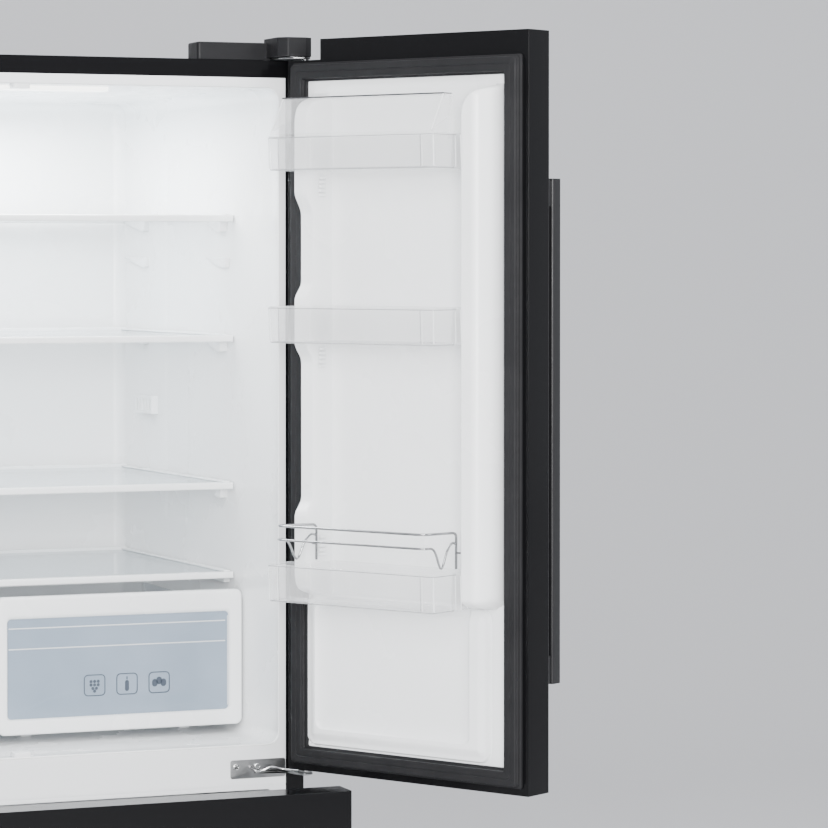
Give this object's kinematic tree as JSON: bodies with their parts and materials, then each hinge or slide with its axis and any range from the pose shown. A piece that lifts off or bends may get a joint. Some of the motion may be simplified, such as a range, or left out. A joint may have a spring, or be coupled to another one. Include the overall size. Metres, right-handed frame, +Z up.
{
  "type": "side by side refrigerator",
  "caption": "Tall black refrigerator with paired swinging upper doors, clear door bins, glass shelves, crispers and full-width pull-out freezer drawers.",
  "frame": {"origin": "on the floor, at the middle of the bounding box of the assembly in its resting pose", "axes": "+Z up, -Y towards the person standing in front of the open doors, +X to the right seen from the front"},
  "size_m": [1.3398, 1.107, 1.793],
  "materials": {
    "black_enamel": "gloss",
    "black_plastic": "satin",
    "black_seal": "matte",
    "bright_wire": "polished",
    "cast_housing": "satin",
    "clear_plastic": "gloss",
    "copper_tube": "satin",
    "galvanised": "satin",
    "handle_black": "satin",
    "light_diffuser": "matte",
    "rigid_foam": "matte",
    "tempered_glass": "gloss",
    "white_enamel": "gloss",
    "white_plastic": "satin",
    "zinc_plate": "satin"
  },
  "bodies": {
    "cabinet": {"air_ducts": "white_plastic", "cabinet_foam": "rigid_foam", "cabinet_shell": "black_enamel", "compressor": "cast_housing", "condenser": "galvanised", "drawer_rails": "zinc_plate", "evaporator": "copper_tube", "freezer_liner": "white_plastic", "fresh_liner": "white_plastic", "front_flange": "white_enamel", "hinge_covers": "black_plastic", "hinge_screws": "bright_wire", "hinges": "zinc_plate", "kick_grille": "black_plastic", "levelling_feet": "black_plastic", "light_lens": "light_diffuser", "power_inlet": "black_plastic", "rear_cover": "galvanised", "sensor_box": "white_plastic", "shelf_glass": "tempered_glass", "shelf_trims": "white_plastic"},
    "right_door": {"right_bins": "clear_plastic", "right_bottle_rail": "bright_wire", "right_door_case": "black_enamel", "right_door_foam": "rigid_foam", "right_door_gasket": "black_seal", "right_door_handle": "handle_black", "right_door_liner": "white_plastic", "right_top_bin": "clear_plastic"},
    "left_door": {"left_bins": "clear_plastic", "left_bottle_rail": "bright_wire", "left_door_case": "black_enamel", "left_door_foam": "rigid_foam", "left_door_gasket": "black_seal", "left_door_handle": "handle_black", "left_door_liner": "white_plastic", "left_top_bin": "clear_plastic"},
    "right_flap": {"right_bin_flap": "clear_plastic"},
    "left_flap": {"left_bin_flap": "clear_plastic"},
    "mullion": {"mullion": "white_plastic"},
    "right_crisper": {"crisper_right_front": "white_plastic", "crisper_right_pane": "clear_plastic", "crisper_right_tray": "clear_plastic"},
    "left_crisper": {"crisper_left_front": "white_plastic", "crisper_left_pane": "clear_plastic", "crisper_left_tray": "clear_plastic"},
    "upper_drawer": {"upper_drawer_basket": "white_plastic", "upper_drawer_foam": "rigid_foam", "upper_drawer_front": "black_enamel", "upper_drawer_gasket": "black_seal", "upper_drawer_handle": "handle_black", "upper_drawer_inner_panel": "white_plastic", "upper_drawer_runners": "zinc_plate"},
    "lower_drawer": {"lower_drawer_basket": "white_plastic", "lower_drawer_foam": "rigid_foam", "lower_drawer_front": "black_enamel", "lower_drawer_gasket": "black_seal", "lower_drawer_handle": "handle_black", "lower_drawer_inner_panel": "white_plastic", "lower_drawer_runners": "zinc_plate"}
  },
  "joints": [
    {"name": "right_door_hinge", "type": "hinge", "parent": "cabinet", "child": "right_door", "pos_m": [0.4087, -0.16483, 0.76], "axis": [0, 0, 1], "range_deg": [-120.4, 9.6]},
    {"name": "left_door_hinge", "type": "hinge", "parent": "cabinet", "child": "left_door", "pos_m": [-0.4087, -0.16483, 0.76], "axis": [0, 0, -1], "range_deg": [-120.4, 9.6]},
    {"name": "mullion_fold", "type": "hinge", "parent": "left_door", "child": "mullion", "pos_m": [-0.56434, -0.52359, 0.808], "axis": [0, 0, 1], "range_deg": [-90, 0]},
    {"name": "right_flap_lift", "type": "hinge", "parent": "right_door", "child": "right_flap", "pos_m": [0.42987, -0.3596, 1.698], "axis": [-0.506, 0.8625, 0], "range_deg": [0, 75]},
    {"name": "left_flap_lift", "type": "hinge", "parent": "left_door", "child": "left_flap", "pos_m": [-0.42987, -0.3596, 1.698], "axis": [-0.506, -0.8625, 0], "range_deg": [0, 75]},
    {"name": "right_crisper_slide", "type": "slide", "parent": "cabinet", "child": "right_crisper", "axis": [0, -1, 0], "range_m": [0, 0.28]},
    {"name": "left_crisper_slide", "type": "slide", "parent": "cabinet", "child": "left_crisper", "axis": [0, -1, 0], "range_m": [0, 0.28]},
    {"name": "upper_drawer_slide", "type": "slide", "parent": "cabinet", "child": "upper_drawer", "axis": [0, -1, 0], "range_m": [-0.1326, 0.28]},
    {"name": "lower_drawer_slide", "type": "slide", "parent": "cabinet", "child": "lower_drawer", "axis": [0, -1, 0], "range_m": [0, 0.3]}
  ]
}
